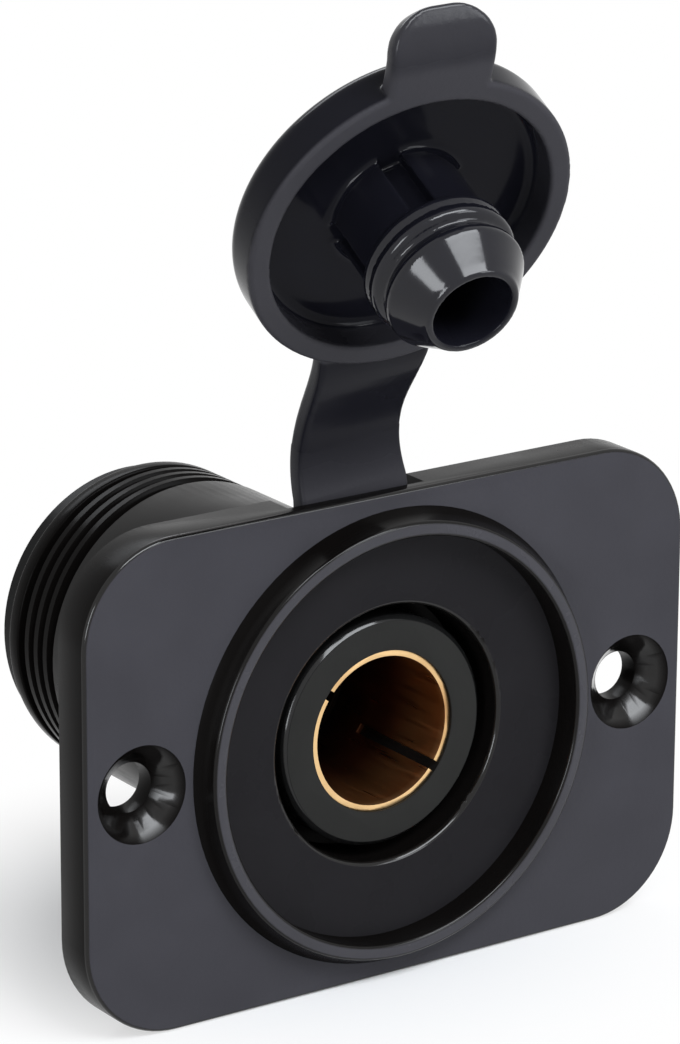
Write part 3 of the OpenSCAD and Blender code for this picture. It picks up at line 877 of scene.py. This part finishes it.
def strap_piece(name, x0, x1, steps, shrink=0.0):
    """A strap from x0 to x1 along its line, with rounded edges. shrink thins its first end."""
    bpy.ops.object.select_all(action="DESELECT")
    bpy.ops.mesh.primitive_plane_add(size=MM, location=(0, 0, 0), rotation=(0, math.pi / 2, 0))
    obj = bpy.context.object
    obj.name = name
    settle(obj)
    edit(obj)
    bpy.ops.mesh.select_all(action="SELECT")
    bpy.ops.transform.resize(value=(1, 2 * strap_width(x0), STRAP_T))
    thin = (1 - shrink / NECK_HALF, 1 - shrink / (STRAP_T / 2))
    bpy.ops.transform.resize(value=(1, *thin))
    bpy.ops.mesh.bevel(offset=EDGE_ROUND * MM, segments=4, affect="VERTICES")
    bpy.ops.mesh.select_all(action="SELECT")
    bpy.ops.transform.translate(value=mm(x0, 0, 0))
    for i in range(steps):
        a, b = (x0 + (x1 - x0) * k / steps for k in (i, i + 1))
        bpy.ops.mesh.extrude_region_move(TRANSFORM_OT_translate={"value": mm(b - a, 0, 0)})
        ratio = strap_width(b) / strap_width(a)
        thick = 1.0
        if shrink and i == 1:
            ratio, thick = ratio / thin[0], 1 / thin[1]
        bpy.ops.transform.resize(value=(1, ratio, thick))
    bpy.ops.mesh.select_all(action="SELECT")
    bpy.ops.mesh.normals_make_consistent(inside=False)
    return done(obj)


def bent(obj, line):
    """Bends a blank that lies along X onto the line."""
    settle(obj, Matrix.Translation(mm(LEAD, 0, 0)))
    finish_with(obj, "CURVE", object=line, deform_axis="POS_X")
    return obj


SEAM = 4.5
END_TILT = math.radians(-9.0)
line = strap_line((0, 0, END_TILT))
upper = bent(strap_piece("upper_strap", SEAM - 0.8, STRAP_LEN + 1.8, 56, shrink=0.04), line)
lower = bent(strap_piece("lower_strap", -3.2, SEAM, 32), line)
bpy.data.objects.remove(line)
print("strap halves:", triangles(upper), triangles(lower), "triangles")

# %% [markdown]
# ## One moulding
# Cap, plug, tab and upper strap are one piece of rubber, with soft joins between them.
# Hand-made fillets would take long where a band meets a round wall at an angle.
# A voxel remesh makes one closed skin of the overlapping pieces, and a light smoothing
# turns every sharp join into a small fillet, as in a mould. Finer voxels than 0.18 mm would
# show little more and make a heavy mesh.

# %% Join and remesh the cap
VOXEL = 0.18
PLACE = Matrix.Translation(CAP_CENTRE * MM) @ CAP_TURN
settle(upper, PLACE.inverted())
only(cap)
tab.select_set(True)
upper.select_set(True)
bpy.ops.object.join()
finish_with(cap, "REMESH", mode="VOXEL", voxel_size=VOXEL * MM, adaptivity=0)
finish_with(cap, "SMOOTH", factor=0.5, iterations=3)
print("remeshed cap:", triangles(cap), "triangles")

# %% [markdown]
# ## Polished and satin rubber, and painted shade
# The mould was polished inside the cup, on the plug and on the cap's outer wall.
# The rim, the tab and the strap have a satin grain. The tab's curl and the strap below the cap
# are given the darker polished colour as well, which paints their shade where they turn away
# from the light.
# The border between them follows the part's own form, so it is stored as an attribute of the
# mesh, painted from each point's place in the cap's own frame. A second attribute, lustre,
# marks what shines most: the plug, and softly the end of the tab.

# %% Paint the polish and the painted shade


def polish_and_shade_at(point):
    """1 where the rubber is polished or painted with shade, 0 where it is satin. The point is in
    mm.
    """
    x, y, z = point
    r = math.hypot(x, z)
    inside = 1 - ramp(r, CUP_R - 0.1, CUP_R + 0.1)
    near_wall = ramp(r, CAP_R - 0.5, CAP_R - 0.2) * (1 - ramp(r, CAP_R + 0.1, CAP_R + 0.5))
    wall = ramp(y, 0.15, 0.45) * near_wall
    front = 1 - ramp(y, CUP_DEPTH + 0.2, CUP_DEPTH + 0.5)
    # Painted shade: half the polished colour darkens the tab's curl, which also becomes smoother.
    curl = 0.5 * ramp(z, 13.8, 15.2)
    # Painted shade: the strap below the cap takes most of the dark polished colour.
    strap_shade = 0.9 * ramp(-z, CAP_R - 0.1, CAP_R + 0.3)
    return max(inside * front, wall, curl, strap_shade)


def lustre_at(point):
    """1 on the plug, less on its stem and the tab's end, 0 elsewhere. The point is in mm."""
    x, y, z = point
    r = math.hypot(x, z)
    plug = 1 - ramp(r, 6.0, 6.4)
    stem = 1 - 0.15 * ramp(y, -3.4, -2.8) - 0.85 * ramp(y, 2.2, 2.8)
    wall = ramp(r, HOLE_R, HOLE_R + 0.2)
    tab_end = 0.6 * ramp(z, 14.4, 17.4)
    return max(plug * stem * wall, tab_end)


paint(cap, "polish_and_shade", polish_and_shade_at)
paint(cap, "lustre", lustre_at)
settle(cap, PLACE)
only(cap)
bpy.ops.object.shade_smooth()
cap.data.materials.clear()
cap.data.materials.append(cap_rubber)

# %% [markdown]
# ## Collar and neck
# Behind the plate the rubber continues as a flat ring round the barrel, which holds the cap.
# The ring is turned from a rounded section, and a small block carries the neck of the strap.
# Here exact joins are wanted, so the three pieces are joined by boolean unions.

# %% Turn the collar and join the neck
collar_section = (
    arc((16.2, -1.6), 0.3, 0, -90, 4)
    + arc((13.2, -1.6), 0.3, -90, -180, 4)
    + arc((13.2, -0.4), 0.3, 180, 90, 4)
    + arc((16.2, -0.4), 0.3, 90, 0, 4)
)
collar = spun("strap_neck", collar_section + [collar_section[0]], 128)
bpy.ops.object.select_all(action="DESELECT")
bpy.ops.mesh.primitive_cube_add(size=MM, scale=(9.8, 1.8, 4.0), location=mm(-2.8, -1.0, 15.5))
block = settle(bpy.context.object)
edit(block)
bpy.ops.mesh.select_all(action="SELECT")
bpy.ops.mesh.bevel(offset=0.25 * MM, segments=3, affect="EDGES")
done(block)
for part in (block, lower):
    finish_with(collar, "BOOLEAN", operation="UNION", solver="EXACT", object=part)
    bpy.data.objects.remove(part)
# Painted shade: the strap darkens upwards, from the neck towards the cap, by the dark polished
# colour.
paint(collar, "polish_and_shade", lambda point: 0.9 * ramp(point[2], 18.0, 25.0))
only(collar)
bpy.ops.object.shade_smooth_by_angle(angle=math.radians(40))
collar.data.materials.clear()
collar.data.materials.append(cap_rubber)
print("collar and neck:", triangles(collar), "triangles")

# %% [markdown]
# ## Thread
# The barrel's end carries a coarse thread for the nut that clamps the socket to its panel.
# CAD leaves the thread out and shows its root, because a helix is heavy in a solid model.
# A small ridge section is swept round and along the axis by a Screw modifier, and a plain
# band is spun at the very end, where the thread runs out.

# %% Sweep the thread
PITCH, TURNS = 1.4, 3.1
ridge = [(12.2, 25.6), (12.2, 26.7), (12.6, 26.66), (13.0, 26.44), (13.0, 25.86), (12.6, 25.64)]
thread = traced("barrel_thread", [(r, y, 0) for r, y in ridge + ridge[:1]])
edit(thread)
bpy.ops.mesh.select_all(action="SELECT")
bpy.ops.mesh.remove_doubles(threshold=0.000002)
done(thread)
finish_with(
    thread, "SCREW", axis="Y", angle=math.tau * TURNS, screw_offset=PITCH * TURNS * MM,
    iterations=1, steps=int(96 * TURNS), render_steps=int(96 * TURNS), use_merge_vertices=False,
)
edit(thread)
bpy.ops.mesh.select_all(action="DESELECT")
bpy.ops.mesh.select_mode(type="EDGE")
bpy.ops.mesh.select_non_manifold()
bpy.ops.mesh.fill_holes(sides=0)
bpy.ops.mesh.select_mode(type="VERT")
bpy.ops.mesh.select_all(action="SELECT")
bpy.ops.mesh.normals_make_consistent(inside=False)
done(thread)
band_section = (
    [(12.2, 31.05)]
    + arc((12.8, 31.25), 0.2, -90, 0, 3)
    + arc((12.8, 32.25), 0.2, 0, 90, 3)
    + [(12.2, 32.45)]
)
band = spun("end_band", band_section + band_section[:1], 128)
only(thread)
band.select_set(True)
bpy.ops.object.join()
bpy.ops.object.shade_smooth_by_angle(angle=math.radians(40))
thread.data.materials.clear()
thread.data.materials.append(black_plastic)
print("thread:", triangles(thread), "triangles")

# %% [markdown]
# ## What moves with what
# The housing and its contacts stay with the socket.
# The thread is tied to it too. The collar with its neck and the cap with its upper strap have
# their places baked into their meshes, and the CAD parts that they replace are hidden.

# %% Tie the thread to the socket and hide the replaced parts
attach(thread, "socket")
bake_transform(collar)
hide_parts("cap_collar")
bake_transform(cap)
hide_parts("strap", "cap")

# %% [markdown]
# ## Last measure
# Both boxes are printed: the CAD parts' box, and the box of all that is now shown. Rubber
# and skins have to stay inside the CAD parts' box.

# %% Print both boxes
visual_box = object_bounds()
for name, box in (("CAD", cad_box), ("visual", visual_box)):
    print(name, [[round(c / MM, 2) for c in v] for v in box])
